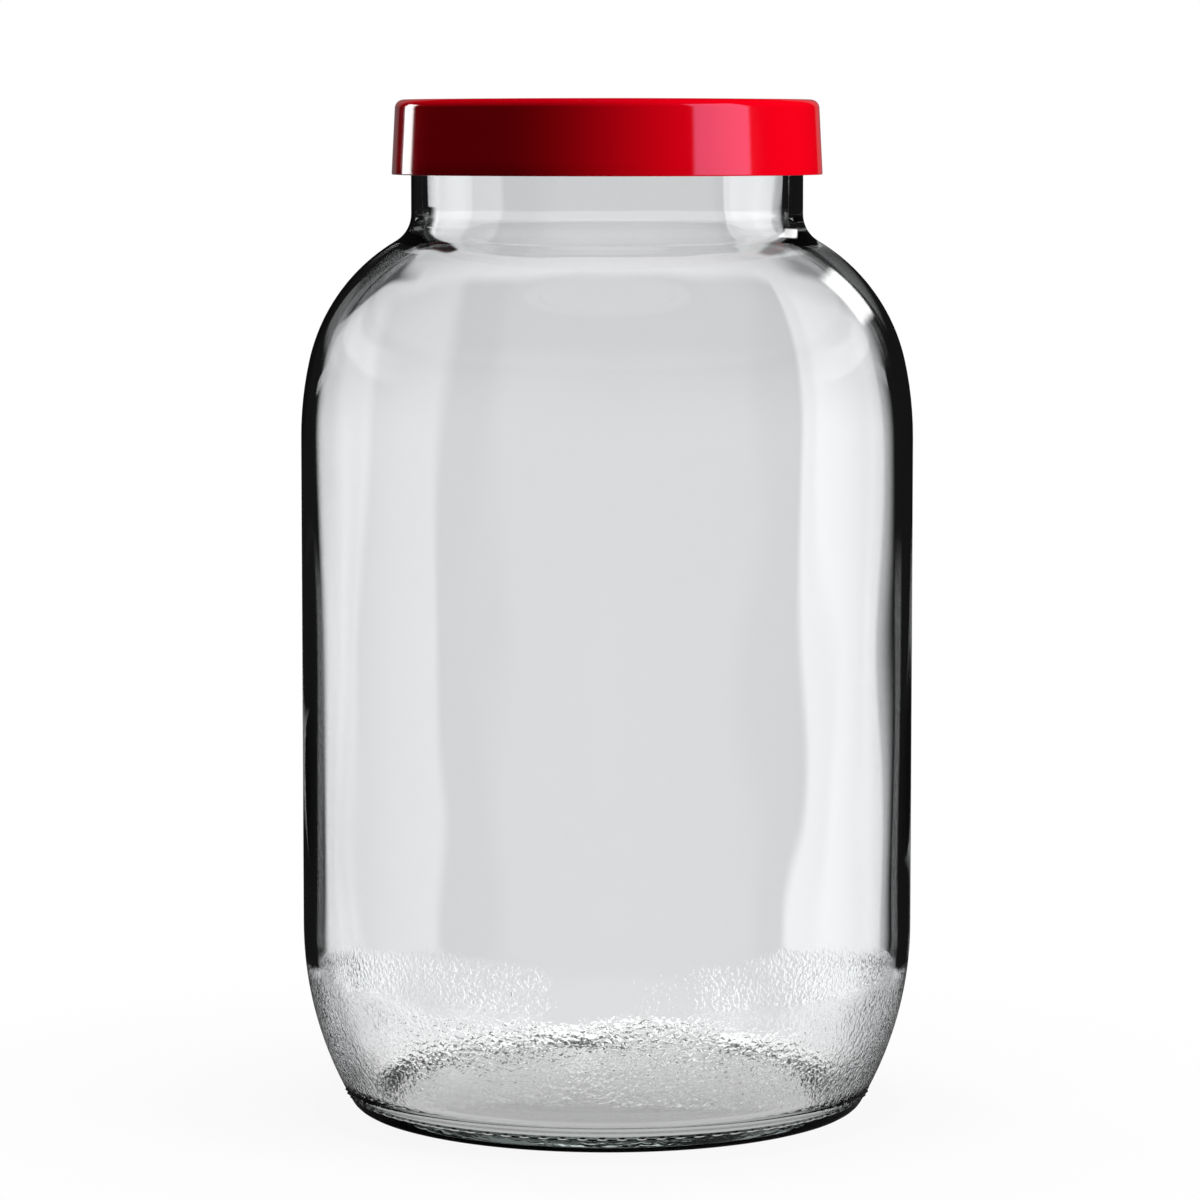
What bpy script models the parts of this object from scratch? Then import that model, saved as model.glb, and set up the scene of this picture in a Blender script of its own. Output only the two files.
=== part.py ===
"""Screw-top storage jar: a blown glass jar, its moulded screw cap and the sealing disc inside the cap.

Metres, +Z up. The origin is on the jar's axis, in the plane that the jar stands on.
The cap is screwed home, and the disc lies between the jar's rim and the roof of the cap.
"""

import math

import bpy
import bmesh

# Gaps left between pieces that seat or run on each other
SEAT_GAP = 0.0003
THREAD_FLANK_GAP = 0.00035
THREAD_TIP_GAP = 0.0006
DISC_SIDE_GAP = 0.0004

# Glass jar: the whole, and its straight body
GLASS_HEIGHT = 0.2539
BODY_RADIUS = 0.0778
BODY_WALL = 0.0029

# Glass jar: heel, the long curve from the body down to the ring that the jar stands on
HEEL_TOP = 0.047
HEEL_SWEEP_RADIUS = 0.090
HEEL_CORNER_RADIUS = 0.004

# Glass jar: base, standing on a narrow ring round a shallow push-up
BEARING_WIDTH = 0.0026
BEARING_EDGE_RADIUS = 0.0012
BEARING_EDGE_TURN = math.radians(50.0)
PUSH_UP_RISE = 0.0024
PUSH_UP_SLOPE_WIDTH = 0.0045
BASE_CROWN = 0.0008
BASE_THICKNESS = 0.0038
FLOOR_CORNER_RADIUS = 0.0165

# Glass jar: shoulder, a long sweep off the body that tightens towards the neck, and the neck
SHOULDER_SWEEP_RADIUS = 0.090
SHOULDER_SWEEP_TURN = math.radians(12.5)
SHOULDER_RADIUS = 0.047
NECK_RADIUS = 0.0497
NECK_WALL = 0.0033
NECK_HEIGHT = 0.0258
NECK_FILLET_RADIUS = 0.008
RIM_EDGE_RADIUS = 0.0011

# Thread of jar and cap: one start, right-hand, ribs of the same crest and flanks on both
THREAD_PITCH = 0.00508
THREAD_CREST_WIDTH = 0.0011
THREAD_FLANK_ANGLE = math.radians(21.0)
JAR_THREAD_DEPTH = 0.0018
JAR_THREAD_DROP = 0.0044
JAR_THREAD_TURNS = 1.3
CAP_THREAD_TURNS = 1.25

# How far a rib's root runs into the wall that it is fused with
RIB_OVERRUN = 0.0005

# Screw cap
CAP_HEIGHT = 0.0192
CAP_ROOF = 0.0017
CAP_FOOT_WALL = 0.0022
CAP_OUTER_DRAFT = 0.00085
CAP_BORE_DRAFT = 0.0003
CAP_EDGE_RADIUS = 0.0022
CAP_CROWN = 0.0003
CAP_MOUTH_CHAMFER = 0.0005
GATE_RADIUS = 0.0022
GATE_DEPTH = 0.0005

# Bead in the cap that keeps the disc from dropping out
BEAD_REACH = 0.0010
BEAD_HEIGHT = 0.0012

# Sealing disc
DISC_THICKNESS = 0.0010
DISC_EDGE_RADIUS = 0.00025

# Facets: sides of a turned piece, steps of a thread rib, and steps of the curves in an outline
SIDES = 64
RIB_STEPS_PER_TURN = 48
RIB_RUN_OUT_STEPS = 5
RIB_END_SHARE = 0.16
LONG_CURVE_STEPS = 8
CURVE_STEPS = 5
SHORT_CURVE_STEPS = 2
CROWN_STEPS = 2
SHARP_ANGLE = math.radians(30.0)

# Points closer than this are one point
MERGE_DISTANCE = 0.000002

# Colours as linear red, green, blue
GLASS_COLOUR = (0.83, 0.88, 0.85, 1.0)
CAP_COLOUR = (0.74, 0.0, 0.012, 1.0)
DISC_COLOUR = (0.84, 0.83, 0.80, 1.0)

# Sizes that follow: from the axis outwards
NECK_BORE = NECK_RADIUS - NECK_WALL
JAR_THREAD_CREST = NECK_RADIUS + JAR_THREAD_DEPTH
CAP_THREAD_CREST = NECK_RADIUS + THREAD_TIP_GAP
CAP_ROOF_BORE = JAR_THREAD_CREST + THREAD_TIP_GAP
CAP_FOOT_BORE = CAP_ROOF_BORE + CAP_BORE_DRAFT
CAP_FOOT_RADIUS = CAP_FOOT_BORE + CAP_FOOT_WALL
CAP_TOP_RADIUS = CAP_FOOT_RADIUS - CAP_OUTER_DRAFT
DISC_RADIUS = CAP_ROOF_BORE - DISC_SIDE_GAP

# Sizes that follow: from the rim upwards, then the thread of the cap under that of the jar
DISC_BOTTOM = GLASS_HEIGHT + SEAT_GAP
DISC_TOP = DISC_BOTTOM + DISC_THICKNESS
ROOF_UNDERSIDE = DISC_TOP + SEAT_GAP
CAP_TOP = ROOF_UNDERSIDE + CAP_ROOF
CAP_FOOT = CAP_TOP - CAP_HEIGHT
BEAD_TOP = DISC_BOTTOM - SEAT_GAP
BEAD_BOTTOM = BEAD_TOP - BEAD_HEIGHT
JAR_THREAD_START = GLASS_HEIGHT - JAR_THREAD_DROP - THREAD_PITCH * JAR_THREAD_TURNS
THREAD_OVERLAP = JAR_THREAD_CREST - CAP_THREAD_CREST
THREAD_OFFSET = (
    THREAD_CREST_WIDTH
    + THREAD_OVERLAP * math.tan(THREAD_FLANK_ANGLE)
    + THREAD_FLANK_GAP / math.cos(THREAD_FLANK_ANGLE)
)
CAP_THREAD_START = JAR_THREAD_START - THREAD_OFFSET

QUARTER = math.pi / 2.0


def clear_scene():
    for thing in list(bpy.data.objects):
        bpy.data.objects.remove(thing, do_unlink=True)


def material(name, colour, roughness, transmission=0.0, ior=1.5):
    made = bpy.data.materials.new(name)
    made.use_nodes = True
    shader = made.node_tree.nodes["Principled BSDF"]
    shader.inputs["Base Color"].default_value = colour
    shader.inputs["Roughness"].default_value = roughness
    shader.inputs["Metallic"].default_value = 0.0
    shader.inputs["Transmission Weight"].default_value = transmission
    shader.inputs["IOR"].default_value = ior
    made.diffuse_color = colour
    return made


def arc(centre, radius, start, end, steps):
    """Points (r, z) of an arc about centre from angle start to angle end, both ends included."""
    angles = [start + (end - start) * step / steps for step in range(steps + 1)]
    return [(centre[0] + radius * math.cos(a), centre[1] + radius * math.sin(a)) for a in angles]


def crown(radius, edge_height, rise):
    """Points (r, z) of a shallow dome from its edge, at radius, in to the axis."""
    shares = [1.0 - step / CROWN_STEPS for step in range(CROWN_STEPS + 1)]
    return [(radius * share, edge_height + rise * (1.0 - share**2)) for share in shares]


def heel(sweep_radius, corner_radius, floor_height):
    """Points from the floor or the standing ring up to the straight body. A corner arc that is tangent
    to a level at floor_height runs into the sweep arc, which is tangent to the body at HEEL_TOP."""
    sweep_centre = (BODY_RADIUS - HEEL_SWEEP_RADIUS, HEEL_TOP)
    drop = HEEL_TOP - floor_height - corner_radius
    reach = math.sqrt((sweep_radius - corner_radius) ** 2 - drop**2)
    corner_centre = (sweep_centre[0] + reach, HEEL_TOP - drop)
    join = math.atan2(-drop, reach)
    return (
        arc(corner_centre, corner_radius, -QUARTER, join, CURVE_STEPS)
        + arc(sweep_centre, sweep_radius, join, 0.0, LONG_CURVE_STEPS)[1:]
    )


def shoulder(wall, neck_radius, fillet_radius):
    """Points from the straight body up over the shoulder and through the fillet to the neck, on the
    skin that lies wall inside the outer one. Both skins turn about the same shoulder centres, which
    are as high as lets the outer one just touch the neck fillet."""
    sweep_centre_radius = BODY_RADIUS - SHOULDER_SWEEP_RADIUS
    centre_shift = SHOULDER_SWEEP_RADIUS - SHOULDER_RADIUS
    centre_radius = sweep_centre_radius + centre_shift * math.cos(SHOULDER_SWEEP_TURN)
    outer_out = NECK_RADIUS + NECK_FILLET_RADIUS - centre_radius
    outer_rise = math.sqrt((SHOULDER_RADIUS + NECK_FILLET_RADIUS) ** 2 - outer_out**2)
    centre_height = GLASS_HEIGHT - NECK_HEIGHT - outer_rise
    sweep_height = centre_height - centre_shift * math.sin(SHOULDER_SWEEP_TURN)
    shoulder_radius = SHOULDER_RADIUS - wall
    out = neck_radius + fillet_radius - centre_radius
    rise = math.sqrt((shoulder_radius + fillet_radius) ** 2 - out**2)
    join = math.atan2(rise, out)
    sweep = arc(
        (sweep_centre_radius, sweep_height),
        SHOULDER_SWEEP_RADIUS - wall,
        0.0,
        SHOULDER_SWEEP_TURN,
        SHORT_CURVE_STEPS,
    )
    turn = arc(
        (centre_radius, centre_height),
        shoulder_radius,
        SHOULDER_SWEEP_TURN,
        join,
        LONG_CURVE_STEPS,
    )
    fillet = arc(
        (neck_radius + fillet_radius, centre_height + rise),
        fillet_radius,
        join + math.pi,
        math.pi,
        CURVE_STEPS,
    )
    return sweep + turn[1:] + fillet[1:]


def finished(name, mesh):
    data = bpy.data.meshes.new(name)
    mesh.to_mesh(data)
    mesh.free()
    piece = bpy.data.objects.new(name, data)
    bpy.context.collection.objects.link(piece)
    return piece


def turned(name, outline):
    """A solid of revolution about Z from an outline of (r, z) points that starts and ends on the axis."""
    mesh = bmesh.new()
    verts = [mesh.verts.new((r, 0.0, z)) for r, z in outline]
    edges = [mesh.edges.new(pair) for pair in zip(verts, verts[1:])]
    bmesh.ops.spin(
        mesh,
        geom=verts + edges,
        cent=(0.0, 0.0, 0.0),
        axis=(0.0, 0.0, 1.0),
        angle=4.0 * QUARTER,
        steps=SIDES,
        use_merge=True,
    )
    bmesh.ops.remove_doubles(mesh, verts=mesh.verts, dist=MERGE_DISTANCE)
    bmesh.ops.recalc_face_normals(mesh, faces=mesh.faces)
    return finished(name, mesh)


def thread_rib(name, root_radius, crest_radius, start_height, turns):
    """A rib wound about Z as a right-hand helix, with its crest outside or inside its root. Its section
    is a trapezoid, and it sinks back into its wall in a run-out at each end."""
    half_crest = THREAD_CREST_WIDTH / 2.0
    half_root = half_crest + abs(crest_radius - root_radius) * math.tan(THREAD_FLANK_ANGLE)
    section = [
        (root_radius, -half_root),
        (crest_radius, -half_crest),
        (crest_radius, half_crest),
        (root_radius, half_root),
    ]
    steps = round(turns * RIB_STEPS_PER_TURN)
    mesh = bmesh.new()
    corners = [mesh.verts.new((r, 0.0, start_height + z)) for r, z in section]
    bmesh.ops.spin(
        mesh,
        geom=corners + [mesh.faces.new(corners)],
        cent=(0.0, 0.0, 0.0),
        axis=(0.0, 0.0, 1.0),
        dvec=(0.0, 0.0, THREAD_PITCH / RIB_STEPS_PER_TURN),
        angle=4.0 * QUARTER * steps / RIB_STEPS_PER_TURN,
        steps=steps,
    )
    mid_radius = (root_radius + crest_radius) / 2.0
    for vert in mesh.verts:
        on_crest = (vert.co.xy.length > mid_radius) == (crest_radius > root_radius)
        step = vert.index // len(section)
        share = min(1.0, max(RIB_END_SHARE, min(step, steps - step) / RIB_RUN_OUT_STEPS))
        if on_crest:
            vert.co.xy = vert.co.xy.normalized() * (root_radius + (crest_radius - root_radius) * share)
    bmesh.ops.recalc_face_normals(mesh, faces=mesh.faces)
    return finished(name, mesh)


def fuse(piece, rib):
    """Joins a rib to its wall. The rib stays in the file as a guide that is not part of the model."""
    union = piece.modifiers.new("thread", "BOOLEAN")
    union.operation = "UNION"
    union.solver = "EXACT"
    union.object = rib
    rib.hide_render = True
    rib.display_type = "WIRE"


def shade(piece, surface):
    piece.data.materials.append(surface)
    piece.data.shade_smooth()
    piece.data.set_sharp_from_angle(angle=SHARP_ANGLE)


def glass_jar():
    """One skin of glass: under the base, up the outside, over the rim and down the inside to the floor."""
    outer_heel = heel(HEEL_SWEEP_RADIUS, HEEL_CORNER_RADIUS, 0.0)
    ring_inside = outer_heel[0][0] - BEARING_WIDTH
    push_up_radius = ring_inside - PUSH_UP_SLOPE_WIDTH
    base = crown(push_up_radius, PUSH_UP_RISE, BASE_CROWN)[::-1]
    ring_edge = arc(
        (ring_inside, BEARING_EDGE_RADIUS),
        BEARING_EDGE_RADIUS,
        -QUARTER - BEARING_EDGE_TURN,
        -QUARTER,
        SHORT_CURVE_STEPS,
    )
    outer_shoulder = shoulder(0.0, NECK_RADIUS, NECK_FILLET_RADIUS)
    rim_outside = arc(
        (NECK_RADIUS - RIM_EDGE_RADIUS, GLASS_HEIGHT - RIM_EDGE_RADIUS),
        RIM_EDGE_RADIUS,
        0.0,
        QUARTER,
        SHORT_CURVE_STEPS,
    )
    rim_inside = arc(
        (NECK_BORE + RIM_EDGE_RADIUS, GLASS_HEIGHT - RIM_EDGE_RADIUS),
        RIM_EDGE_RADIUS,
        QUARTER,
        2.0 * QUARTER,
        SHORT_CURVE_STEPS,
    )
    inner_shoulder = shoulder(BODY_WALL, NECK_BORE, NECK_FILLET_RADIUS + NECK_WALL)
    floor_height = PUSH_UP_RISE + BASE_THICKNESS
    inner_heel = heel(HEEL_SWEEP_RADIUS - BODY_WALL, FLOOR_CORNER_RADIUS, floor_height)
    floor = crown(inner_heel[0][0], floor_height, BASE_CROWN)[1:]
    jar = turned(
        "glass_jar",
        base
        + ring_edge
        + outer_heel
        + outer_shoulder
        + rim_outside
        + rim_inside
        + inner_shoulder[::-1]
        + inner_heel[::-1]
        + floor,
    )
    rib = thread_rib(
        "jar_thread_guide",
        NECK_RADIUS - RIB_OVERRUN,
        JAR_THREAD_CREST,
        JAR_THREAD_START,
        JAR_THREAD_TURNS,
    )
    fuse(jar, rib)
    shade(jar, material("soda_lime_glass", GLASS_COLOUR, 0.02, transmission=1.0, ior=1.52))
    return jar


def screw_cap():
    """An open moulded shell: roof with its gate mark, drafted skirt, bead and thread inside."""
    top_panel = CAP_TOP_RADIUS - CAP_EDGE_RADIUS
    top = crown(top_panel, CAP_TOP - CAP_CROWN, CAP_CROWN)[:-1][::-1]
    gate = [
        (0.0, CAP_TOP - GATE_DEPTH),
        (GATE_RADIUS - GATE_DEPTH, CAP_TOP - GATE_DEPTH),
        (GATE_RADIUS, CAP_TOP),
    ]
    edge = arc(
        (top_panel, CAP_TOP - CAP_CROWN - CAP_EDGE_RADIUS),
        CAP_EDGE_RADIUS,
        QUARTER,
        0.0,
        CURVE_STEPS,
    )[1:]
    foot = [
        (CAP_FOOT_RADIUS, CAP_FOOT),
        (CAP_FOOT_BORE + CAP_MOUTH_CHAMFER, CAP_FOOT),
        (CAP_FOOT_BORE, CAP_FOOT + CAP_MOUTH_CHAMFER),
    ]
    bead_inside = CAP_ROOF_BORE - BEAD_REACH
    bead = [
        (CAP_ROOF_BORE, BEAD_BOTTOM),
        (bead_inside, BEAD_BOTTOM + BEAD_HEIGHT / 2.0),
        (bead_inside, BEAD_TOP - BEAD_HEIGHT / 4.0),
        (CAP_ROOF_BORE, BEAD_TOP),
    ]
    roof = [
        (CAP_ROOF_BORE, ROOF_UNDERSIDE),
        (0.0, ROOF_UNDERSIDE),
    ]
    cap = turned("screw_cap", gate + top + edge + foot + bead + roof)
    rib = thread_rib(
        "cap_thread_guide",
        CAP_FOOT_BORE + RIB_OVERRUN,
        CAP_THREAD_CREST,
        CAP_THREAD_START,
        CAP_THREAD_TURNS,
    )
    fuse(cap, rib)
    shade(cap, material("glossy_polypropylene", CAP_COLOUR, 0.12, ior=1.49))
    return cap


def sealing_disc():
    """A soft disc with slightly rounded edges, loose between the bead and the roof of the cap."""
    upper = arc(
        (DISC_RADIUS - DISC_EDGE_RADIUS, DISC_TOP - DISC_EDGE_RADIUS),
        DISC_EDGE_RADIUS,
        QUARTER,
        0.0,
        SHORT_CURVE_STEPS,
    )
    lower = arc(
        (DISC_RADIUS - DISC_EDGE_RADIUS, DISC_BOTTOM + DISC_EDGE_RADIUS),
        DISC_EDGE_RADIUS,
        0.0,
        -QUARTER,
        SHORT_CURVE_STEPS,
    )
    disc = turned("sealing_disc", [(0.0, DISC_TOP)] + upper + lower + [(0.0, DISC_BOTTOM)])
    shade(disc, material("foam_sheet", DISC_COLOUR, 0.65))
    return disc


clear_scene()
glass_jar()
screw_cap()
sealing_disc()
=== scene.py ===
"""Looks of a screw-top storage jar: clear blown glass, a glossy red screw cap and its sealing disc.

Metres, +Z up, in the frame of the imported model. Each new piece stands for the solid of its name.
"""

import math

import bmesh
import bpy
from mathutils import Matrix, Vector, noise


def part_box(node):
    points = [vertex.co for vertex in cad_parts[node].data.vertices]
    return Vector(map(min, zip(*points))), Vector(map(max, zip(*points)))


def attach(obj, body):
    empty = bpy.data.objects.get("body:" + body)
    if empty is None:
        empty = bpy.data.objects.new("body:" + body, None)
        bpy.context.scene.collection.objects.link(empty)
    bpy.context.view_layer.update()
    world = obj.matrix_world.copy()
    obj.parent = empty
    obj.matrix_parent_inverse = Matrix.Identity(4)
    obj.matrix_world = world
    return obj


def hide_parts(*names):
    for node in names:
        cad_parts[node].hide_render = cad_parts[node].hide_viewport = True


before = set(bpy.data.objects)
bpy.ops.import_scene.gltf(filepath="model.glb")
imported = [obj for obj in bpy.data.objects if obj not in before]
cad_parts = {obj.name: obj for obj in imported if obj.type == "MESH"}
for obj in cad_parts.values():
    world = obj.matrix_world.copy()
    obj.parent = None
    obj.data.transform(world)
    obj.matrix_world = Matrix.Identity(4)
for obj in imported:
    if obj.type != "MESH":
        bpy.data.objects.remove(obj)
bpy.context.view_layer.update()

MM = 0.001
QUARTER = math.pi / 2.0
TURN = 2.0 * math.pi

# Glass jar. The height, the body's radius and the cap's place come from the frame.
GLASS_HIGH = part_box("glass_jar")[1]
CAP_LOW, CAP_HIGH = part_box("screw_cap")
DISC_LOW, DISC_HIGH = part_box("sealing_disc")
GLASS_HEIGHT = GLASS_HIGH.z
BODY_RADIUS = GLASS_HIGH.x
BODY_WALL = 2.9 * MM
HEEL_TOP = 47.0 * MM
HEEL_SWEEP_RADIUS = 90.0 * MM
HEEL_CORNER_RADIUS = 4.0 * MM
BEARING_WIDTH = 2.6 * MM
BEARING_EDGE_RADIUS = 1.2 * MM
BEARING_EDGE_TURN = math.radians(50.0)
PUSH_UP_RISE = 2.4 * MM
PUSH_UP_SLOPE_WIDTH = 4.5 * MM
BASE_CROWN = 0.8 * MM
FLOOR_EDGE_HEIGHT = 4.8 * MM
FLOOR_CORNER_RADIUS = 8.0 * MM
SHOULDER_SWEEP_RADIUS = 90.0 * MM
SHOULDER_SWEEP_TURN = math.radians(12.5)
SHOULDER_RADIUS = 47.0 * MM
NECK_RADIUS = 49.7 * MM
NECK_WALL = 3.3 * MM
NECK_BORE = NECK_RADIUS - NECK_WALL
NECK_HEIGHT = 25.8 * MM
NECK_FILLET_RADIUS = 8.0 * MM
NECK_INNER_FILLET = 8.5 * MM
RIM_EDGE_RADIUS = 1.1 * MM

# Short ribs round the foot of the heel, and the waviness of the blown inside
FOOT_RIBS = 87
FOOT_RIB_HEIGHT = 4.2 * MM
FOOT_RIB_HALF = 0.55 * MM
FOOT_RIB_DEPTH = 0.5 * MM
SIDES_PER_RIB = 3
SIDES = FOOT_RIBS * SIDES_PER_RIB
WAVE_DEPTH = 0.16 * MM
WAVE_WIDTH = 26.0 * MM
WAVE_LENGTH = 60.0 * MM

# Stippled band of the heel. It starts higher and is fainter in front, ends lower behind, and is worn
# in patches.
STIPPLE_BOTTOM = 0.0 * MM
STIPPLE_TOP = 37.5 * MM
STIPPLE_FRONT_CLEAR = 11.0 * MM
STIPPLE_BACK_DROP = 14.0 * MM
STIPPLE_FRONT_FAINT = 0.3
STIPPLE_FADE = 5.0 * MM
STIPPLE_GRAIN = 1.25 * MM
STIPPLE_DEPTH = 0.34 * MM
STIPPLE_PATCH = 26.0 * MM
STIPPLE_PATCH_EDGE = (0.35, 0.65)
STIPPLE_WORN = 0.2

# Fine surface of the cap and the disc
CAP_FLOW_SIZE = 9.0 * MM
CAP_FLOW_DEPTH = 0.05 * MM
FOAM_CELL_SIZE = 0.7 * MM
FOAM_CELL_DEPTH = 0.1 * MM

# Threads of jar and cap
THREAD_PITCH = 5.08 * MM
THREAD_CREST_WIDTH = 1.1 * MM
THREAD_FLANK_ANGLE = math.radians(21.0)
THREAD_TIP_GAP = 0.6 * MM
THREAD_FLANK_GAP = 0.35 * MM
JAR_THREAD_DEPTH = 1.8 * MM
JAR_THREAD_DROP = 4.4 * MM
JAR_THREAD_TURNS = 1.3
CAP_THREAD_TURNS = 1.25
THREAD_RUN_OUT = TURN * 5.0 / 48.0
JAR_THREAD_CREST = NECK_RADIUS + JAR_THREAD_DEPTH
CAP_THREAD_CREST = NECK_RADIUS + THREAD_TIP_GAP
JAR_THREAD_START = GLASS_HEIGHT - JAR_THREAD_DROP - THREAD_PITCH * JAR_THREAD_TURNS
THREAD_OFFSET = (
    THREAD_CREST_WIDTH
    + (JAR_THREAD_CREST - CAP_THREAD_CREST) * math.tan(THREAD_FLANK_ANGLE)
    + THREAD_FLANK_GAP / math.cos(THREAD_FLANK_ANGLE)
)
CAP_THREAD_START = JAR_THREAD_START - THREAD_OFFSET

# Screw cap
CAP_ROOF = 1.7 * MM
CAP_ROOF_BORE = JAR_THREAD_CREST + THREAD_TIP_GAP
CAP_INNER_DRAFT = 0.3 * MM
CAP_OUTER_DRAFT = 0.85 * MM
CAP_FOOT_BORE = CAP_ROOF_BORE + CAP_INNER_DRAFT
CAP_FOOT_RADIUS = CAP_HIGH.x
CAP_TOP_RADIUS = CAP_FOOT_RADIUS - CAP_OUTER_DRAFT
CAP_EDGE_RADIUS = 2.2 * MM
CAP_CROWN = 0.3 * MM
CAP_FOOT_EDGE_RADIUS = 0.3 * MM
CAP_MOUTH_CHAMFER = 0.5 * MM
GATE_RADIUS = 2.2 * MM
GATE_DEPTH = 0.5 * MM
BEAD_RADIUS = 0.6 * MM
SEAT_GAP = 0.3 * MM
DISC_EDGE_RADIUS = 0.25 * MM

# Lengths of the steps in which an outline is drawn, and the angle from which an edge stays sharp
LONG_STEP = 4.0 * MM
CURVE_STEP = 1.8 * MM
FINE_STEP = 0.25 * MM
MERGE_DISTANCE = 0.002 * MM
SHARP_ANGLE = math.radians(32.0)

# Camera
CAMERA_AWAY = 1.197
CAMERA_HEIGHT = 0.2487
CAMERA_SIDE = -0.0018
CAMERA_PITCH = math.radians(4.808)
CAMERA_LENS = 141.2
CAMERA_SHIFT_Y = -0.06
CAMERA_SENSOR = 36.0
CAMERA_CLIP = (0.05, 50.0)


def steps_along(length, step):
    """How many steps, none longer than step, make up a length."""
    return max(1, math.ceil(length / step))


def line(start, end, step=LONG_STEP):
    """Points (r, z) from start to end, without the end itself."""
    count = steps_along(math.dist(start, end), step)
    return [
        (start[0] + (end[0] - start[0]) * i / count, start[1] + (end[1] - start[1]) * i / count)
        for i in range(count)
    ]


def arc(centre, radius, start, end, step=CURVE_STEP):
    """Points (r, z) of an arc about centre from angle start to angle end, both ends included."""
    count = steps_along(abs(end - start) * radius, step)
    angles = [start + (end - start) * i / count for i in range(count + 1)]
    return [(centre[0] + radius * math.cos(a), centre[1] + radius * math.sin(a)) for a in angles]


def crown(radius, edge_height, rise, step=LONG_STEP):
    """Points (r, z) of a shallow dome from its edge, at radius, in to the axis."""
    count = steps_along(radius, step)
    shares = [1.0 - i / count for i in range(count + 1)]
    return [(radius * share, edge_height + rise * (1.0 - share**2)) for share in shares]


def heel(sweep_radius, corner_radius, floor_height):
    """Points from the floor or the standing ring up to the straight body, along two tangent arcs."""
    sweep_centre = (BODY_RADIUS - HEEL_SWEEP_RADIUS, HEEL_TOP)
    drop = HEEL_TOP - floor_height - corner_radius
    reach = math.sqrt((sweep_radius - corner_radius) ** 2 - drop**2)
    corner_centre = (sweep_centre[0] + reach, HEEL_TOP - drop)
    join = math.atan2(-drop, reach)
    return (
        arc(corner_centre, corner_radius, -QUARTER, join, CURVE_STEP / 2.0)
        + arc(sweep_centre, sweep_radius, join, 0.0)[1:]
    )


def refined(points, low, high, step):
    """The same outline with short steps between two heights."""
    kept = []
    for start, end in zip(points, points[1:]):
        inside = low < (start[1] + end[1]) / 2.0 < high
        kept += line(start, end, step if inside else math.dist(start, end) * 2.0)
    return kept + points[-1:]


def shoulder(wall, neck_radius, fillet_radius):
    """Points from the straight body up over the shoulder and through the fillet to the neck."""
    sweep_centre_radius = BODY_RADIUS - SHOULDER_SWEEP_RADIUS
    centre_shift = SHOULDER_SWEEP_RADIUS - SHOULDER_RADIUS
    centre_radius = sweep_centre_radius + centre_shift * math.cos(SHOULDER_SWEEP_TURN)
    outer_out = NECK_RADIUS + NECK_FILLET_RADIUS - centre_radius
    outer_rise = math.sqrt((SHOULDER_RADIUS + NECK_FILLET_RADIUS) ** 2 - outer_out**2)
    centre_height = GLASS_HEIGHT - NECK_HEIGHT - outer_rise
    sweep_height = centre_height - centre_shift * math.sin(SHOULDER_SWEEP_TURN)
    shoulder_radius = SHOULDER_RADIUS - wall
    out = neck_radius + fillet_radius - centre_radius
    rise = math.sqrt((shoulder_radius + fillet_radius) ** 2 - out**2)
    join = math.atan2(rise, out)
    sweep = arc(
        (sweep_centre_radius, sweep_height),
        SHOULDER_SWEEP_RADIUS - wall,
        0.0,
        SHOULDER_SWEEP_TURN,
        CURVE_STEP * 2.0,
    )
    turn = arc((centre_radius, centre_height), shoulder_radius, SHOULDER_SWEEP_TURN, join)
    fillet_centre = (neck_radius + fillet_radius, centre_height + rise)
    fillet = arc(fillet_centre, fillet_radius, join + math.pi, math.pi, CURVE_STEP / 2.0)
    return sweep + turn[1:] + fillet[1:]


def smooth(value):
    """Eases a share from 0 to 1."""
    share = min(1.0, max(0.0, value))
    return share * share * (3.0 - 2.0 * share)


def rib_share(angle, height, start_height, turns, depth):
    """How far a thread's rib stands out at an angle and height, as a share of its depth."""
    half_crest = THREAD_CREST_WIDTH / 2.0
    flank = depth * math.tan(THREAD_FLANK_ANGLE)
    share = 0.0
    for lap in range(math.ceil(turns) + 1):
        along = angle % TURN + lap * TURN
        ends = min(along, turns * TURN - along) / THREAD_RUN_OUT
        if ends > 0.0:
            off = abs(height - start_height - THREAD_PITCH * along / TURN)
            share = max(share, smooth(ends) * smooth(1.0 - (off - half_crest) / flank))
    return share


def turned(stretches):
    """A solid of revolution about Z. Each stretch is (label, points), and the stretches join into one
    outline of (r, z) points that starts and ends on the axis. Returns the bmesh and the label layers."""
    mesh = bmesh.new()
    layers = {label: mesh.verts.layers.float.new(label) for label, _ in stretches if label}
    verts = []
    for label, points in stretches:
        for r, z in points:
            vert = mesh.verts.new((r, 0.0, z))
            if label:
                vert[layers[label]] = 1.0
            verts.append(vert)
    edges = [mesh.edges.new(pair) for pair in zip(verts, verts[1:])]
    bmesh.ops.spin(
        mesh,
        geom=verts + edges,
        cent=(0.0, 0.0, 0.0),
        axis=(0.0, 0.0, 1.0),
        angle=TURN,
        steps=SIDES,
        use_merge=True,
    )
    bmesh.ops.remove_doubles(mesh, verts=mesh.verts, dist=MERGE_DISTANCE)
    bmesh.ops.recalc_face_normals(mesh, faces=mesh.faces)
    return mesh, layers


def finished(name, mesh, surface, body):
    """The object of a finished mesh, riding on a body, with its surface in a slot."""
    data = bpy.data.meshes.new(name)
    mesh.to_mesh(data)
    mesh.free()
    data.materials.append(surface)
    data.shade_smooth()
    data.set_sharp_from_angle(angle=SHARP_ANGLE)
    piece = bpy.data.objects.new(name, data)
    bpy.context.collection.objects.link(piece)
    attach(piece, body)
    return piece


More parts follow.
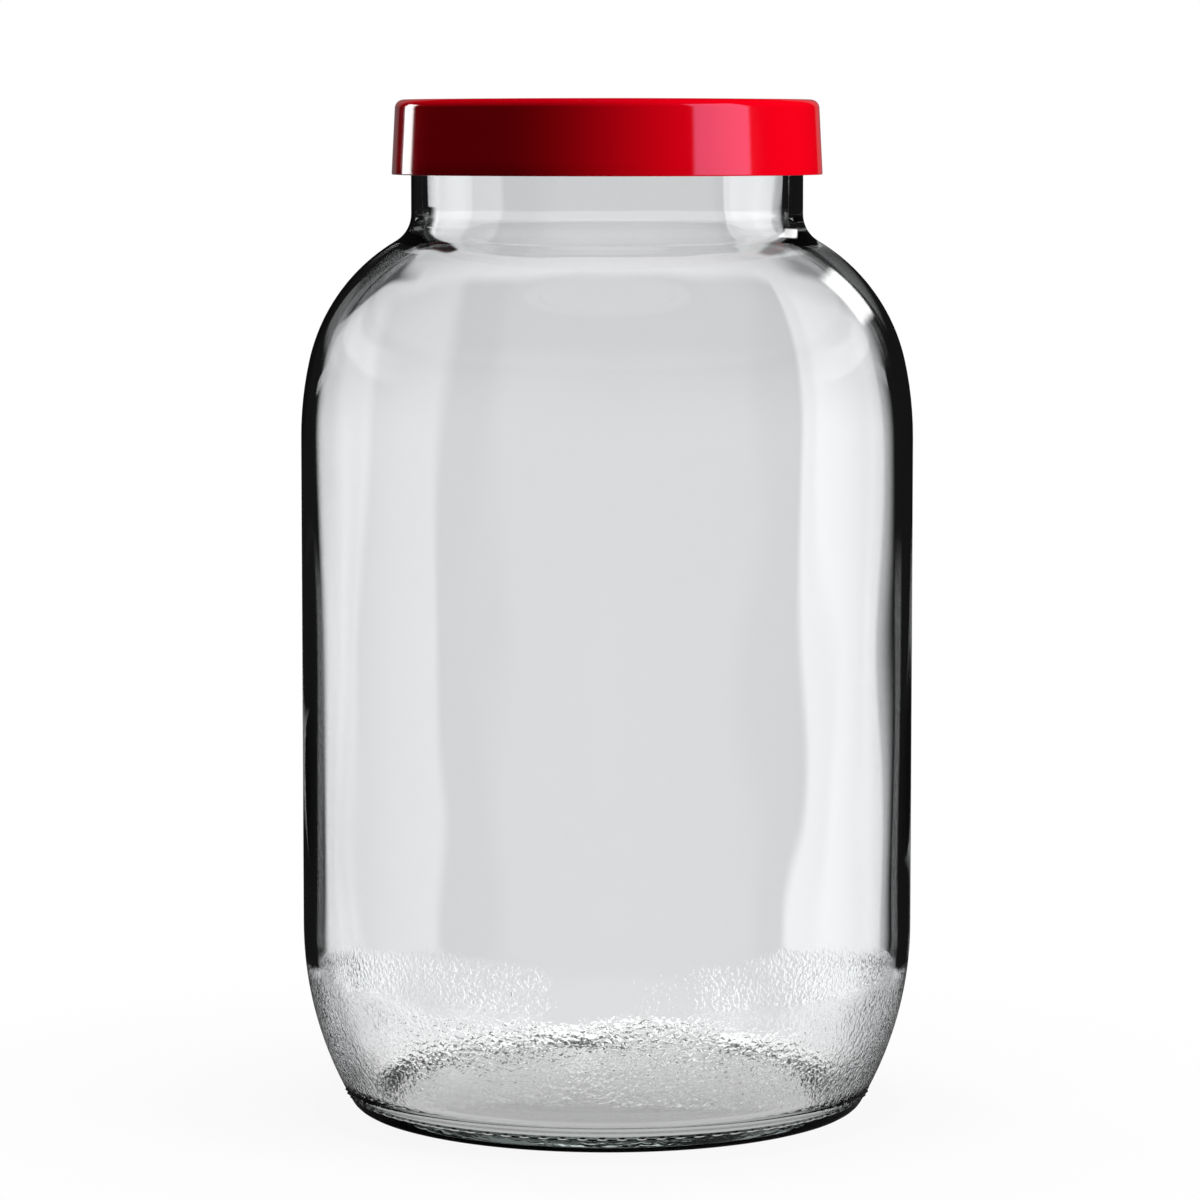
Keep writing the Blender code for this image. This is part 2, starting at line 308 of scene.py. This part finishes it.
def linear(code):
    """Linear red, green, blue and alpha of an sRGB hex colour."""
    parts = [int(code[i : i + 2], 16) / 255.0 for i in (1, 3, 5)]
    return [c / 12.92 if c <= 0.04045 else ((c + 0.055) / 1.055) ** 2.4 for c in parts] + [1.0]


def add(tree, kind, inputs=(), **settings):
    """Adds a node. Its inputs are given in order or by name. Each is a value, or the output that is
    linked to it, where a node stands for its first output."""
    made = tree.nodes.new(kind)
    for key, value in settings.items():
        setattr(made, key, value)
    for key, value in (inputs if isinstance(inputs, dict) else dict(enumerate(inputs))).items():
        if isinstance(value, bpy.types.Node):
            value = value.outputs[0]
        if isinstance(value, bpy.types.NodeSocket):
            tree.links.new(value, made.inputs[key])
        else:
            made.inputs[key].default_value = value
    return made


def principled(name, values):
    """A material with the given values in its shader. Returns it with its node tree and the shader."""
    made = bpy.data.materials.new(name)
    made.use_nodes = True
    shader = made.node_tree.nodes["Principled BSDF"]
    for key, value in values.items():
        shader.inputs[key].default_value = value
    return made, made.node_tree, shader


def blown_soda_lime_glass():
    """Blown soda-lime glass: clear, faintly green where it is thick, with a mould's stipple on the heel."""
    values = {"Base Color": linear("#FFFFFF"), "Roughness": 0.0, "IOR": 1.52, "Transmission Weight": 1.0}
    made, tree, shader = principled("blown_soda_lime_glass", values)
    place = add(tree, "ShaderNodeTexCoord").outputs["Object"]
    mask = add(tree, "ShaderNodeAttribute", attribute_name="stipple").outputs["Fac"]
    inputs = {"Vector": place, "Scale": 1.0 / STIPPLE_GRAIN, "Detail": 1.0, "Distortion": 0.5}
    grain = add(tree, "ShaderNodeTexNoise", inputs).outputs["Fac"]
    inputs = {"Vector": place, "Scale": 1.0 / STIPPLE_PATCH, "Detail": 1.0}
    worn = add(tree, "ShaderNodeTexNoise", inputs).outputs["Fac"]
    low, high = STIPPLE_PATCH_EDGE
    inputs = {"Value": worn, "From Min": low, "From Max": high, "To Min": STIPPLE_WORN}
    depth = add(tree, "ShaderNodeMapRange", inputs)
    masked = add(tree, "ShaderNodeMath", (grain, mask), operation="MULTIPLY")
    height = add(tree, "ShaderNodeMath", (masked, depth), operation="MULTIPLY")
    bump = add(tree, "ShaderNodeBump", {"Height": height, "Strength": 1.0, "Distance": STIPPLE_DEPTH})
    tree.links.new(bump.outputs["Normal"], shader.inputs["Normal"])
    body = add(tree, "ShaderNodeVolumeAbsorption", {"Color": linear("#C9E0D8"), "Density": 6.0})
    tree.links.new(body.outputs["Volume"], tree.nodes["Material Output"].inputs["Volume"])
    return made


def moulded_polypropylene():
    """Injection-moulded polypropylene: saturated red with a bright, even gloss and a faint flow."""
    values = {"Base Color": linear("#E60017"), "Roughness": 0.09, "IOR": 1.49}
    made, tree, shader = principled("moulded_polypropylene", values)
    place = add(tree, "ShaderNodeTexCoord").outputs["Object"]
    inputs = {"Vector": place, "Scale": 1.0 / CAP_FLOW_SIZE, "Detail": 1.0}
    flow = add(tree, "ShaderNodeTexNoise", inputs).outputs["Fac"]
    bump = add(tree, "ShaderNodeBump", {"Height": flow, "Strength": 0.25, "Distance": CAP_FLOW_DEPTH})
    tree.links.new(bump.outputs["Normal"], shader.inputs["Normal"])
    return made


def foam_sheet():
    """Pressed polyethylene foam: off-white, matt, with fine cells."""
    values = {"Base Color": linear("#EDEBE6"), "Roughness": 0.65, "IOR": 1.5}
    made, tree, shader = principled("foam_sheet", values)
    place = add(tree, "ShaderNodeTexCoord").outputs["Object"]
    inputs = {"Vector": place, "Scale": 1.0 / FOAM_CELL_SIZE}
    cells = add(tree, "ShaderNodeTexVoronoi", inputs).outputs["Distance"]
    bump = add(tree, "ShaderNodeBump", {"Height": cells, "Strength": 0.4, "Distance": FOAM_CELL_DEPTH})
    tree.links.new(bump.outputs["Normal"], shader.inputs["Normal"])
    return made


def glass_jar():
    """One skin of glass: under the base, up the outside, over the rim and down the inside."""
    outer_heel = heel(HEEL_SWEEP_RADIUS, HEEL_CORNER_RADIUS, 0.0)
    ring_outside = outer_heel[0][0]
    ring_inside = ring_outside - BEARING_WIDTH
    push_up_radius = ring_inside - PUSH_UP_SLOPE_WIDTH
    base = crown(push_up_radius, PUSH_UP_RISE, BASE_CROWN)[::-1]
    edge_start = -QUARTER - BEARING_EDGE_TURN
    edge_centre = (ring_inside, BEARING_EDGE_RADIUS)
    ring_edge = arc(edge_centre, BEARING_EDGE_RADIUS, edge_start, -QUARTER, FINE_STEP)
    slope = line(base[-1], ring_edge[0], CURVE_STEP)[1:]
    ring = line(ring_edge[-1], outer_heel[0], BEARING_WIDTH / 4.0)[1:]
    ribs_low, ribs_high = FOOT_RIB_HEIGHT - FOOT_RIB_HALF, FOOT_RIB_HEIGHT + FOOT_RIB_HALF
    outer_heel = refined(outer_heel, ribs_low, ribs_high, FINE_STEP)
    outer_shoulder = shoulder(0.0, NECK_RADIUS, NECK_FILLET_RADIUS)
    outer_body = line(outer_heel[-1], outer_shoulder[0])[1:]
    rim_height = GLASS_HEIGHT - RIM_EDGE_RADIUS
    outer_centre = (NECK_RADIUS - RIM_EDGE_RADIUS, rim_height)
    inner_centre = (NECK_BORE + RIM_EDGE_RADIUS, rim_height)
    rim_outside = arc(outer_centre, RIM_EDGE_RADIUS, 0.0, QUARTER, FINE_STEP)
    rim_inside = arc(inner_centre, RIM_EDGE_RADIUS, QUARTER, 2.0 * QUARTER, FINE_STEP)
    thread_top = JAR_THREAD_START + THREAD_PITCH * (JAR_THREAD_TURNS + 0.5)
    neck = line(outer_shoulder[-1], rim_outside[0], CURVE_STEP)[1:]
    neck = refined(neck, JAR_THREAD_START - THREAD_PITCH / 2.0, thread_top, FINE_STEP)
    inner_shoulder = shoulder(BODY_WALL, NECK_BORE, NECK_INNER_FILLET)[::-1]
    inner_neck = line(rim_inside[-1], inner_shoulder[0], CURVE_STEP)[1:]
    inner_heel = heel(HEEL_SWEEP_RADIUS - BODY_WALL, FLOOR_CORNER_RADIUS, FLOOR_EDGE_HEIGHT)[::-1]
    inner_body = line(inner_shoulder[-1], inner_heel[0])[1:]
    inner_floor = crown(inner_heel[-1][0], FLOOR_EDGE_HEIGHT, BASE_CROWN)[1:]
    mesh, layers = turned(
        [
            ("", base + slope + ring_edge + ring),
            ("stipple", outer_heel),
            ("", outer_body + outer_shoulder),
            ("thread", neck),
            ("", rim_outside + rim_inside),
            ("inside", inner_neck + inner_shoulder + inner_body + inner_heel + inner_floor),
        ]
    )
    for vert in mesh.verts:
        angle = math.atan2(vert.co.y, vert.co.x) % TURN
        radius = vert.co.xy.length
        if vert[layers["thread"]] > 0.5:
            share = rib_share(
                angle, vert.co.z, JAR_THREAD_START, JAR_THREAD_TURNS, JAR_THREAD_DEPTH
            )
            vert.co.xy *= (radius + JAR_THREAD_DEPTH * share) / radius
        if vert[layers["inside"]] > 0.5 and radius > NECK_BORE / 2.0:
            around = BODY_RADIUS / WAVE_WIDTH
            spot = Vector(
                (math.cos(angle) * around, math.sin(angle) * around, vert.co.z / WAVE_LENGTH)
            )
            fade = smooth((vert.co.z - HEEL_TOP / 2.0) / HEEL_TOP)
            vert.co.xy *= (radius + WAVE_DEPTH * noise.noise(spot) * fade) / radius
        if vert[layers["stipple"]] > 0.5:
            if round(angle / TURN * SIDES) % SIDES_PER_RIB == 0:
                share = smooth(1.0 - abs(vert.co.z - FOOT_RIB_HEIGHT) / FOOT_RIB_HALF)
                vert.co.xy *= (radius + FOOT_RIB_DEPTH * share) / radius
            front, behind = max(0.0, -math.sin(angle)) ** 2, max(0.0, math.sin(angle)) ** 2
            bottom = STIPPLE_BOTTOM + STIPPLE_FRONT_CLEAR * front
            top = STIPPLE_TOP - STIPPLE_BACK_DROP * behind
            share = smooth((vert.co.z - bottom) / STIPPLE_FADE)
            share *= smooth((top - vert.co.z) / STIPPLE_FADE)
            vert[layers["stipple"]] = share * (1.0 - STIPPLE_FRONT_FAINT * front)
    piece = finished("clear_glass_jar", mesh, blown_soda_lime_glass(), "jar")
    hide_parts("glass_jar")


def screw_cap():
    """An open moulded shell: roof with its gate mark, drafted skirt, bead and thread inside."""
    cap_top, cap_foot = CAP_HIGH.z, CAP_LOW.z
    top_panel = CAP_TOP_RADIUS - CAP_EDGE_RADIUS
    edge_height = cap_top - CAP_CROWN - CAP_EDGE_RADIUS
    gate_floor = cap_top - GATE_DEPTH
    roof_underside = cap_top - CAP_ROOF
    gate = [(0.0, gate_floor), (GATE_RADIUS - GATE_DEPTH, gate_floor)]
    gate_lip = arc((GATE_RADIUS, gate_floor), GATE_DEPTH, 2.0 * QUARTER, QUARTER, FINE_STEP)
    panel = crown(top_panel, cap_top - CAP_CROWN, CAP_CROWN)[::-1]
    top = [point for point in panel if point[0] > GATE_RADIUS]
    edge = arc((top_panel, edge_height), CAP_EDGE_RADIUS, QUARTER, 0.0, FINE_STEP)[1:]
    foot_edge_centre = (CAP_FOOT_RADIUS - CAP_FOOT_EDGE_RADIUS, cap_foot + CAP_FOOT_EDGE_RADIUS)
    foot_edge = arc(foot_edge_centre, CAP_FOOT_EDGE_RADIUS, 0.0, -QUARTER, FINE_STEP / 2.0)
    skirt = line(edge[-1], foot_edge[0])[1:]
    mouth = [
        (CAP_FOOT_BORE + CAP_MOUTH_CHAMFER, cap_foot),
        (CAP_FOOT_BORE, cap_foot + CAP_MOUTH_CHAMFER),
    ]
    bead_top = DISC_LOW.z - SEAT_GAP
    bead_bottom = bead_top - 2.0 * BEAD_RADIUS
    bore = line(mouth[-1], (CAP_ROOF_BORE, bead_bottom), FINE_STEP)[1:]
    bead_centre = (CAP_ROOF_BORE, bead_top - BEAD_RADIUS)
    bead = arc(bead_centre, BEAD_RADIUS, -QUARTER, -3.0 * QUARTER, FINE_STEP)
    roof_middle = (0.0, roof_underside)
    roof = line((CAP_ROOF_BORE, roof_underside), roof_middle) + [roof_middle]
    mesh, layers = turned(
        [
            ("", gate + gate_lip + top + edge + skirt + foot_edge + mouth),
            ("thread", bore),
            ("", bead + roof),
        ]
    )
    depth = CAP_FOOT_BORE - CAP_THREAD_CREST
    for vert in mesh.verts:
        if vert[layers["thread"]] > 0.5:
            angle = math.atan2(vert.co.y, vert.co.x)
            share = rib_share(angle, vert.co.z, CAP_THREAD_START, CAP_THREAD_TURNS, depth)
            radius = vert.co.xy.length
            vert.co.xy *= (radius - (radius - CAP_THREAD_CREST) * share) / radius
    piece = finished("red_screw_cap", mesh, moulded_polypropylene(), "cap")
    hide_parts("screw_cap")


def sealing_disc():
    """A round sheet with eased edges."""
    top, bottom, radius = DISC_HIGH.z, DISC_LOW.z, DISC_HIGH.x
    rim = radius - DISC_EDGE_RADIUS
    upper = arc((rim, top - DISC_EDGE_RADIUS), DISC_EDGE_RADIUS, QUARTER, 0.0, FINE_STEP / 3.0)
    lower = arc((rim, bottom + DISC_EDGE_RADIUS), DISC_EDGE_RADIUS, 0.0, -QUARTER, FINE_STEP / 3.0)
    outline = line((0.0, top), upper[0]) + upper + lower + line(lower[-1], (0.0, bottom))[1:]
    mesh, _ = turned([("", outline + [(0.0, bottom)])])
    piece = finished("foam_sealing_disc", mesh, foam_sheet(), "disc")
    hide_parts("sealing_disc")


# Places in the studio are in degrees. A bearing is from +Y towards +X, and a height is above the level.
# An edge is (place, softness), and a window is (centre, half width, softness).

# What the glass is seen against, from any of eight sides: upright panels between dark flags. Each
# panel has the place and softness of its left edge, and its brightness. Places across the field are
# less than 0 to the left of its middle.
FIELD_PERIOD = 45.0
FIELD_FIRST = 1.5
FIELD_PANELS = [
    (-10.5, 3.0, 1.28),
    (-7.6, 1.6, 1.12),
    (-6.2, 0.8, 0.96),
    (-3.1, 0.4, 0.81),
    (-2.0, 0.6, 0.86),
    (2.9, 0.6, 0.82),
    (3.8, 0.4, 1.10),
    (4.9, 0.6, 1.19),
    (7.5, 1.5, 1.31),
    (10.4, 0.9, 0.85),
]

# The field by height: a little darker above the middle, and even over that
UPPER_EDGE = (-2.6, 2.4)
UPPER_SHARE = 0.87
HIGH_EDGE = (2.0, 1.4)
HIGH_BRIGHT = 0.96

# Low down the field has no flags, only a brighter panel on either side of its middle, and at its
# lowest it is even
LOW_EDGE = (11.6, 1.6)
LOW_BRIGHT = 0.86
LOW_PANELS = [(5.5, 3.0, 1.25), (15.5, 3.0, 0.86)]
LOWEST_EDGE = (23.0, 6.0)
LOWEST_BRIGHT = 0.95

# Flags: their inner edges, the gap that they leave at the neck, and the corners of the top ones, each
# with an edge by height and an edge across
FLAG_DARK = 0.008
LEFT_FLAG = (14.4, 5.0)
RIGHT_FLAG = (12.8, 4.6)
LEFT_NECK_FLAG = (17.8, 1.5)
RIGHT_NECK_FLAG = (13.7, 1.0)
NECK_GAP = (-0.75, 0.4, 0.3)
TOP_LEFT_FLAG = ((3.3, 0.8), (5.8, 0.8))
TOP_RIGHT_FLAG = ((4.3, 1.6), (5.8, 1.6))
TOP_RIGHT_SHARE = 0.6

# What the glass shows after it has mirrored a ray inside itself: a dark room, with light from the
# front of the table low down, light along the view both just above and just below the level, a pale
# wall on the right, and some light from high up
AHEAD = (0.0, 75.0, 30.0)
TABLE_EDGE = (12.9, 0.8)
TABLE_BRIGHT = 0.85
NEAR_TABLE_EDGE = (20.5, 3.0)
NEAR_TABLE_BRIGHT = 0.1
ALONG_VIEW = ((0.0, 9.0, 3.0), (7.9, 2.4, 1.0))
ALONG_VIEW_BRIGHT = 0.85
SIDE_WALL = ((17.0, 8.0, 4.0), (11.5, 4.5, 3.0))
SIDE_WALL_BRIGHT = 0.2
HIGH_ROOM_EDGE = (26.5, 2.0)
HIGH_ROOM_BRIGHT = 0.4

# What the outside of the jar and the cap mirror
SOFT_BOX = ((115.5, 17.5, 1.0), (15.0, 25.0, 1.0))
SOFT_BOX_BRIGHT = 3.5
STRIP = ((-44.75, 6.25, 1.0), (3.0, 13.0, 1.0))
STRIP_BRIGHT = 7.0
BACKDROP = ((0.0, 26.0, 1.0), (0.0, 30.0, 1.0))
BACKDROP_BRIGHT = 0.15
ROOM_BRIGHT = 0.005
HIGH_LIGHT = ((34.5, 9.5, 4.0), (42.5, 8.0, 3.0))
HIGH_LIGHT_BRIGHT = 5.0
EVEN_LIGHT = 0.06
FIELD_COLOUR = "#FCFDFF"
SOFT_BOX_COLOUR = "#F1C2FF"

# Floor: how bright it is under the jar through the glass, from front to back, which is painted shade,
# darker at the front and lighter at the back; and the shadow that it keeps
FLOOR_RADIUS = 0.24
FLOOR_SIDES = 96
FLOOR_COLOUR = "#F2F2F0"
FLOOR_ON_PLASTIC = 0.3
SHADOW = (0.0, 0.16, 0.16)
SHADOW_SHARE = 0.09
UNDER_JAR = 75.0 * MM
UNDER_JAR_PAINTED_SHADE = (0.55, 1.5)
UNDER_JAR_MIRRORED = 0.55

# Soft boxes that light the cap and the floor: bearing and height, distance, width, height and power
LAMPS = {
    "right_soft_box": (107.0, 6.0, 1.2, 0.7, 0.9, 19.0),
    "back_strip": (-37.0, 15.0, 1.3, 0.2, 0.9, 5.0),
    "overhead_box": (0.0, 90.0, 1.2, 0.4, 0.4, 9.0),
}


def above(tree, value, place, softness):
    """0 below a place and 1 above it, with a soft edge."""
    inputs = {"Value": value, "From Min": place - softness / 2.0, "From Max": place + softness / 2.0}
    return add(tree, "ShaderNodeMapRange", inputs, interpolation_type="SMOOTHSTEP")


def within(tree, value, centre, half_width, softness):
    """1 within half_width of the centre and 0 outside, with soft edges."""
    off = add(tree, "ShaderNodeMath", (value, centre), operation="SUBTRACT")
    off = add(tree, "ShaderNodeMath", (off,), operation="ABSOLUTE")
    return above(tree, off, half_width, -softness)


def pane(tree, sideways, upwards, side, height):
    """1 inside a pane of light, which is a window sideways and a window upwards."""
    across, up = within(tree, sideways, *side), within(tree, upwards, *height)
    return add(tree, "ShaderNodeMath", (across, up), operation="MULTIPLY")


def layered(tree, first, layers):
    """The first value under layers of (share, value), each laid over those before it."""
    for share, value in layers:
        first = add(tree, "ShaderNodeMix", {"Factor": share, "A": first, "B": value})
    return first


def bright_field(tree, off, rise, fall):
    """Brightness of the field of panels and flags, at a place across it."""
    leftward = add(tree, "ShaderNodeMath", (off, -1.0), operation="MULTIPLY")
    aside = add(tree, "ShaderNodeMath", (off,), operation="ABSOLUTE")
    low = above(tree, fall, *LOW_EDGE)
    panels = [(above(tree, off, *edge), bright) for *edge, bright in FIELD_PANELS]
    shade = layered(tree, FIELD_FIRST, panels)
    upper = layered(tree, 1.0, [(above(tree, rise, *UPPER_EDGE), UPPER_SHARE)])
    shade = add(tree, "ShaderNodeMath", (shade, upper), operation="MULTIPLY")
    low_panels = [(above(tree, aside, *edge), bright) for *edge, bright in LOW_PANELS]
    heights = [
        (above(tree, rise, *HIGH_EDGE), HIGH_BRIGHT),
        (low, layered(tree, LOW_BRIGHT, low_panels)),
        (above(tree, fall, *LOWEST_EDGE), LOWEST_BRIGHT),
    ]
    shade = layered(tree, shade, heights)

    sides = [
        (above(tree, leftward, *left), above(tree, off, *right))
        for left, right in ((LEFT_FLAG, RIGHT_FLAG), (LEFT_NECK_FLAG, RIGHT_NECK_FLAG))
    ]
    flags, neck_flags = [add(tree, "ShaderNodeMath", pair, operation="MAXIMUM") for pair in sides]
    flags = layered(tree, flags, [(within(tree, rise, *NECK_GAP), neck_flags), (low, 0.0)])
    for side, (height, edge), share in (
        (leftward, TOP_LEFT_FLAG, 1.0),
        (off, TOP_RIGHT_FLAG, TOP_RIGHT_SHARE),
    ):
        reach = (above(tree, rise, *height), above(tree, side, *edge))
        corner = add(tree, "ShaderNodeMath", reach, operation="MULTIPLY")
        corner = add(tree, "ShaderNodeMath", (corner, share), operation="MULTIPLY")
        flags = add(tree, "ShaderNodeMath", (flags, corner), operation="MAXIMUM")
    return layered(tree, shade, [(flags, FLAG_DARK)])


def mirrored_room(tree, bearing, off, rise, fall):
    """Brightness of the room that the glass shows once it has mirrored a ray inside itself."""
    level = add(tree, "ShaderNodeMath", (rise,), operation="ABSOLUTE")
    ahead = [
        (above(tree, fall, *TABLE_EDGE), TABLE_BRIGHT),
        (pane(tree, bearing, level, *ALONG_VIEW), ALONG_VIEW_BRIGHT),
        (pane(tree, off, rise, *SIDE_WALL), SIDE_WALL_BRIGHT),
    ]
    room = [
        (within(tree, bearing, *AHEAD), layered(tree, FLAG_DARK, ahead)),
        (above(tree, fall, *NEAR_TABLE_EDGE), NEAR_TABLE_BRIGHT),
        (above(tree, rise, *HIGH_ROOM_EDGE), HIGH_ROOM_BRIGHT),
    ]
    return layered(tree, FLAG_DARK, room)


def studio_world():
    """White to the camera. Glass is seen against the bright field, gloss mirrors a soft box to the right
    and a strip light behind to the left, and all else gets a low even light."""
    world = bpy.data.worlds.new("studio")
    bpy.context.scene.world = world
    world.use_nodes = True
    tree = world.node_tree
    direction = add(tree, "ShaderNodeTexCoord").outputs["Generated"]
    parts = add(tree, "ShaderNodeSeparateXYZ", (direction,)).outputs
    angles = [
        add(tree, "ShaderNodeMath", sides, operation=operation)
        for sides, operation in (
            ((parts["X"], parts["Y"]), "ARCTAN2"),
            ((parts["Z"],), "ARCSINE"),
            ((parts["Z"], parts["X"]), "ARCTAN2"),
            ((parts["Y"],), "ARCCOSINE"),
        )
    ]
    bearing, rise, around_view, from_view = [
        add(tree, "ShaderNodeMath", (angle,), operation="DEGREES") for angle in angles
    ]
    fall = add(tree, "ShaderNodeMath", (rise, -1.0), operation="MULTIPLY")
    half_period = FIELD_PERIOD / 2.0
    off = add(tree, "ShaderNodeMath", (bearing, half_period, -half_period), operation="WRAP")
    path = add(tree, "ShaderNodeLightPath").outputs
    through_glass, on_gloss = path["Is Transmission Ray"], path["Is Glossy Ray"]
    mirrored = add(tree, "ShaderNodeMath", (path["Glossy Depth"], 1.0), operation="MINIMUM")
    room = mirrored_room(tree, bearing, off, rise, fall)
    through = layered(tree, bright_field(tree, off, rise, fall), [(mirrored, room)])

    soft_box = pane(tree, bearing, rise, *SOFT_BOX)
    on_plastic = ROOM_BRIGHT
    for light, bright in (
        (soft_box, SOFT_BOX_BRIGHT),
        (pane(tree, bearing, rise, *STRIP), STRIP_BRIGHT),
        (pane(tree, bearing, rise, *BACKDROP), BACKDROP_BRIGHT),
    ):
        inputs = (light, bright, on_plastic)
        on_plastic = add(tree, "ShaderNodeMath", inputs, operation="MULTIPLY_ADD")
    high_light = pane(tree, around_view, from_view, *HIGH_LIGHT)
    inputs = (high_light, HIGH_LIGHT_BRIGHT, FLAG_DARK)
    on_glass = add(tree, "ShaderNodeMath", inputs, operation="MULTIPLY_ADD")
    seen = layered(
        tree,
        EVEN_LIGHT,
        [
            (on_gloss, layered(tree, on_plastic, [(path["Is Singular Ray"], on_glass)])),
            (through_glass, through),
            (path["Is Camera Ray"], 1.0),
        ],
    )
    off_glass = add(tree, "ShaderNodeMath", (1.0, through_glass), operation="SUBTRACT")
    tinted = add(tree, "ShaderNodeMath", (on_gloss, off_glass), operation="MULTIPLY")
    tinted = add(tree, "ShaderNodeMath", (soft_box, tinted), operation="MULTIPLY")
    colour = linear("#FFFFFF")
    for share, other in ((through_glass, FIELD_COLOUR), (tinted, SOFT_BOX_COLOUR)):
        inputs = {"Factor": share, 6: colour, 7: linear(other)}
        colour = add(tree, "ShaderNodeMix", inputs, data_type="RGBA").outputs[2]
    background = tree.nodes["Background"]
    tree.links.new(seen.outputs[0], background.inputs["Strength"])
    tree.links.new(colour, background.inputs["Color"])


def floor():
    """A pale floor that fades into the white round it and keeps the jar's shadow. Through the glass it
    is seen only under the jar, where it glows with painted shade, darker at the front and lighter at
    the back, and beyond that the glass shows the field."""
    mesh = bmesh.new()
    bmesh.ops.create_circle(mesh, cap_ends=True, segments=FLOOR_SIDES, radius=FLOOR_RADIUS)
    data = bpy.data.meshes.new("floor")
    mesh.to_mesh(data)
    mesh.free()
    made = bpy.data.materials.new("white_painted_board")
    made.use_nodes = True
    made.cycles.emission_sampling = "NONE"
    tree = made.node_tree
    tree.nodes.clear()
    place = add(tree, "ShaderNodeTexCoord").outputs["Object"]
    away = add(tree, "ShaderNodeVectorMath", (place,), operation="LENGTH").outputs["Value"]
    back = add(tree, "ShaderNodeSeparateXYZ", (place,)).outputs["Y"]
    path = add(tree, "ShaderNodeLightPath").outputs
    through_glass = path["Is Transmission Ray"]
    mirrored = add(tree, "ShaderNodeMath", (path["Glossy Depth"], 1.0), operation="MINIMUM")
    # Painted shade under the jar, seen through the glass: the floor glows darker at the front and lighter
    # at the back
    inputs = (back, 0.5 / UNDER_JAR, 0.5)
    painted_shade_share = add(tree, "ShaderNodeMath", inputs, operation="MULTIPLY_ADD")
    front_painted_shade, back_painted_light = UNDER_JAR_PAINTED_SHADE
    painted_under_shade = layered(tree, front_painted_shade, [(painted_shade_share, back_painted_light), (mirrored, UNDER_JAR_MIRRORED)])
    on_gloss = layered(tree, FLOOR_ON_PLASTIC, [(path["Is Singular Ray"], FLAG_DARK)])
    seen = layered(tree, 1.0, [(path["Is Glossy Ray"], on_gloss), (through_glass, painted_under_shade)])
    glow = add(tree, "ShaderNodeEmission", {"Strength": seen})
    paint = add(tree, "ShaderNodeBsdfDiffuse", {"Color": linear(FLOOR_COLOUR)})
    inputs = (within(tree, away, *SHADOW), -SHADOW_SHARE, 1.0)
    share = add(tree, "ShaderNodeMath", inputs, operation="MULTIPLY_ADD")
    lit = add(tree, "ShaderNodeMixShader", (share, paint, glow))
    outside = add(tree, "ShaderNodeMath", (away, UNDER_JAR), operation="GREATER_THAN")
    beyond = add(tree, "ShaderNodeMath", (through_glass, outside), operation="MULTIPLY")
    clear = add(tree, "ShaderNodeBsdfTransparent")
    surface = add(tree, "ShaderNodeMixShader", (beyond, lit, clear))
    add(tree, "ShaderNodeOutputMaterial", {"Surface": surface})
    data.materials.append(made)
    board = bpy.data.objects.new("floor", data)
    bpy.context.collection.objects.link(board)
    board.visible_diffuse = False


def lamp(name, bearing, height, away, width, tall, power):
    """A soft box that faces the middle of the jar and shows in no surface."""
    data = bpy.data.lights.new(name, "AREA")
    data.shape = "RECTANGLE"
    data.size, data.size_y, data.energy = width, tall, power
    light = bpy.data.objects.new(name, data)
    bpy.context.collection.objects.link(light)
    turn, rise = math.radians(bearing), math.radians(height)
    out = Vector((math.sin(turn) * math.cos(rise), math.cos(turn) * math.cos(rise), math.sin(rise)))
    light.location = out * away + Vector((0.0, 0.0, GLASS_HEIGHT / 2.0))
    light.rotation_mode = "QUATERNION"
    light.rotation_quaternion = out.to_track_quat("Z", "Y")
    light.visible_glossy = False
    light.visible_transmission = False


def camera():
    """Looks at the jar from the photograph's side, from the height of the cap's foot."""
    data = bpy.data.cameras.new("camera")
    data.lens = CAMERA_LENS
    data.sensor_width = CAMERA_SENSOR
    data.shift_y = CAMERA_SHIFT_Y
    data.clip_start, data.clip_end = CAMERA_CLIP
    seen_from = bpy.data.objects.new("camera", data)
    bpy.context.collection.objects.link(seen_from)
    seen_from.location = (CAMERA_SIDE, -CAMERA_AWAY, CAMERA_HEIGHT)
    seen_from.rotation_euler = (QUARTER - CAMERA_PITCH, 0.0, 0.0)
    bpy.context.scene.camera = seen_from


bpy.context.scene.view_settings.view_transform = "Standard"
camera()
studio_world()
floor()
for lamp_name, lamp_sizes in LAMPS.items():
    lamp(lamp_name, *lamp_sizes)
glass_jar()
screw_cap()
sealing_disc()
